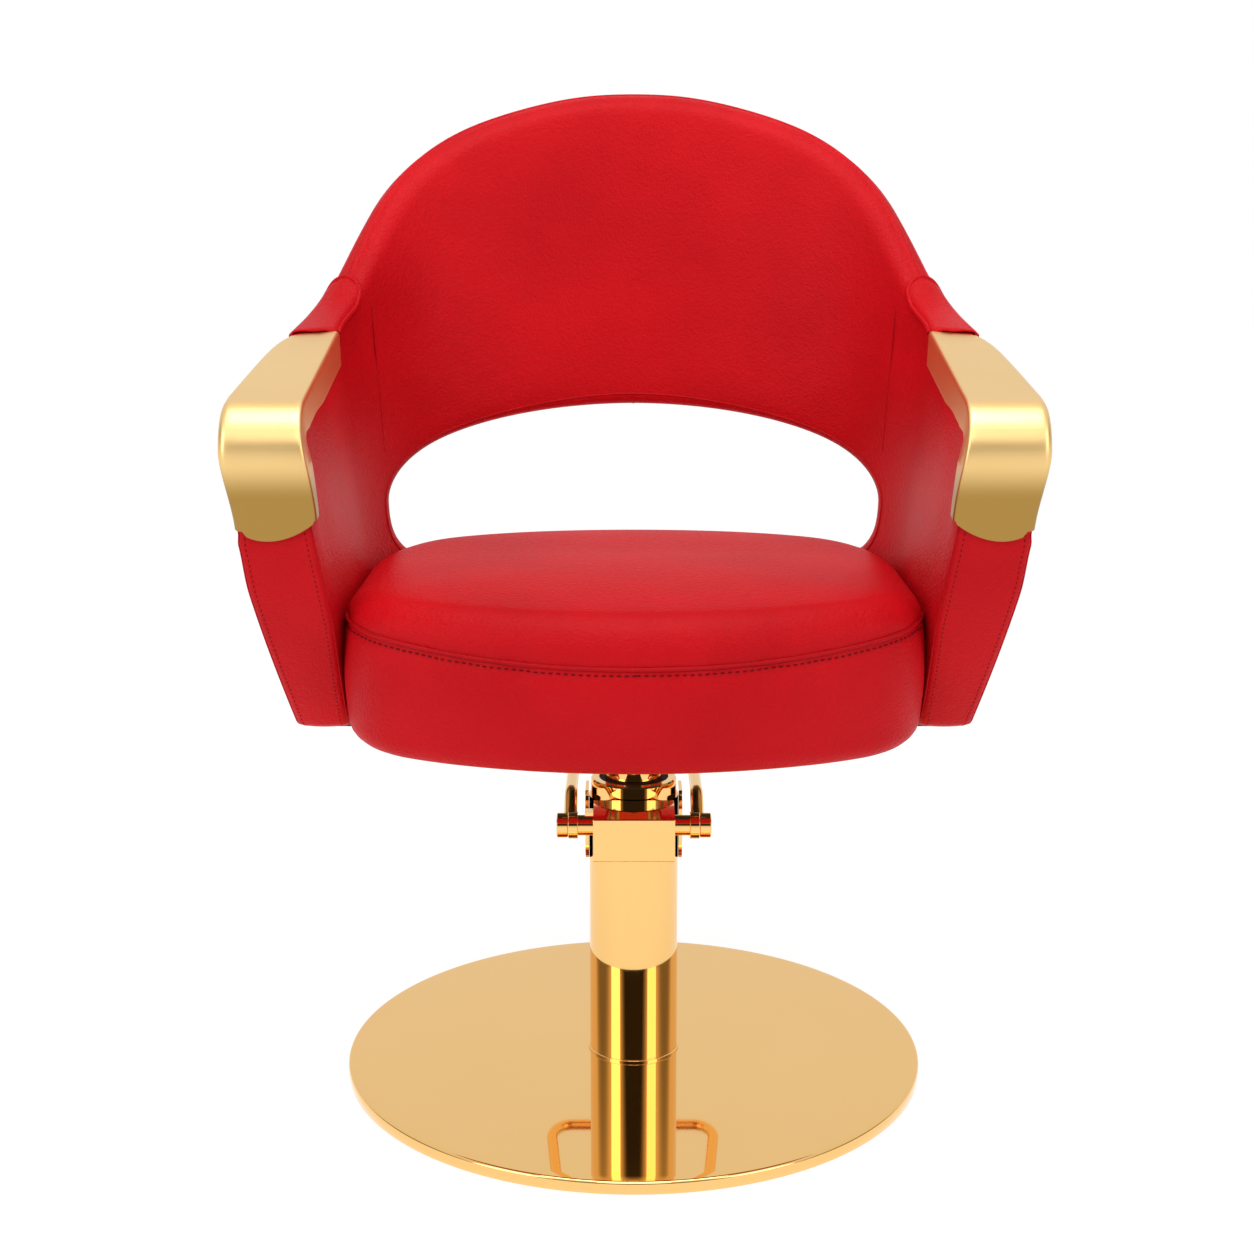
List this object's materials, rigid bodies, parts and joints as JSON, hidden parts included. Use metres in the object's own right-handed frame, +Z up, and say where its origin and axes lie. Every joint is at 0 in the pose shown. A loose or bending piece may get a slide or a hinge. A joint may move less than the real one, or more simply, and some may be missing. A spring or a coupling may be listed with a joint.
{
  "type": "hydraulic salon chair",
  "caption": "Hydraulic salon chair with a padded tub shell, oval back opening and metal arm caps, on a pedal-pumped column over a round floor disc.",
  "frame": {"origin": "centre of the round floor disc, on the floor under its rubber sheet", "axes": "+Z up, +Y to the back of the chair, +X to the sitter's left, at the seat's straight-ahead position"},
  "size_m": [0.7074, 0.5923, 0.973],
  "materials": {
    "gold_polished": "polished",
    "gold_satin": "satin",
    "red_leather": "satin",
    "black_rubber": "matte",
    "plywood": "matte",
    "bare_steel": "satin",
    "black_steel": "satin",
    "bronze": "satin"
  },
  "bodies": {
    "base": {"base_disc": "gold_polished", "block_screws": "bare_steel", "column_foot": "bare_steel", "column_tube": "gold_polished", "cylinder_barrel": "bare_steel", "floor_pad": "black_rubber", "foot_bolts": "bare_steel", "foot_ring": "gold_polished", "guide_bush": "bronze", "head_cheeks": "gold_polished", "head_collar": "gold_polished", "plunger_spring": "bare_steel", "pump_block": "gold_polished", "valve_seat": "bare_steel", "wiper_seal": "black_rubber"},
    "ram": {"ram": "gold_polished", "piston_head": "bare_steel", "piston_seal": "black_rubber", "thrust_washer": "bronze", "retaining_clip": "bare_steel"},
    "seat": {"seat_hub": "black_steel", "mounting_plate": "black_steel", "plate_bolts": "bare_steel", "t_nuts": "bare_steel", "front_cross_rail": "black_steel", "rear_cross_rail": "black_steel", "rail_screws": "bare_steel", "seat_board": "plywood", "seat_cushion": "red_leather", "tub_shell": "red_leather", "arm_bracket_left": "black_steel", "arm_bracket_right": "black_steel", "arm_cap_left": "gold_satin", "arm_cap_right": "gold_satin", "arm_strip_left": "red_leather", "arm_strip_right": "red_leather", "cap_studs_left": "bare_steel", "cap_studs_right": "bare_steel"},
    "pedal": {"pedal_shaft": "bare_steel", "shaft_sleeves": "gold_polished", "pedal_stop_lug": "gold_polished", "pedal_boss_left": "gold_polished", "pedal_boss_right": "gold_polished", "pedal_loop": "gold_polished", "pedal_set_screws": "gold_polished"},
    "plunger": {"pump_plunger": "bare_steel"},
    "check_valve": {"check_ball": "bare_steel"}
  },
  "joints": [
    {"name": "lift", "type": "slide", "parent": "base", "child": "ram", "axis": [0, 0, 1], "range_m": [0, 0.14]},
    {"name": "swivel", "type": "hinge", "parent": "ram", "child": "seat", "pos_m": [0, 0, 0.331], "axis": [0, 0, 1], "continuous": true},
    {"name": "pedal", "type": "hinge", "parent": "base", "child": "pedal", "pos_m": [0, -0.066, 0.271], "axis": [-1, 0, 0], "range_deg": [0, 20], "stiffness_Nm_per_rad": 4, "springref_deg": -51.57},
    {"name": "plunger", "type": "slide", "parent": "base", "child": "plunger", "axis": [0, 0, -1], "range_m": [0, 0.0045], "deforming": ["plunger_spring"]},
    {"name": "check_valve", "type": "slide", "parent": "base", "child": "check_valve", "axis": [0, 0, 1], "range_m": [0, 0.002]}
  ],
  "couplings": [
    {"joint": "plunger", "follows": "pedal", "m_per_rad": 0.01285}
  ]
}
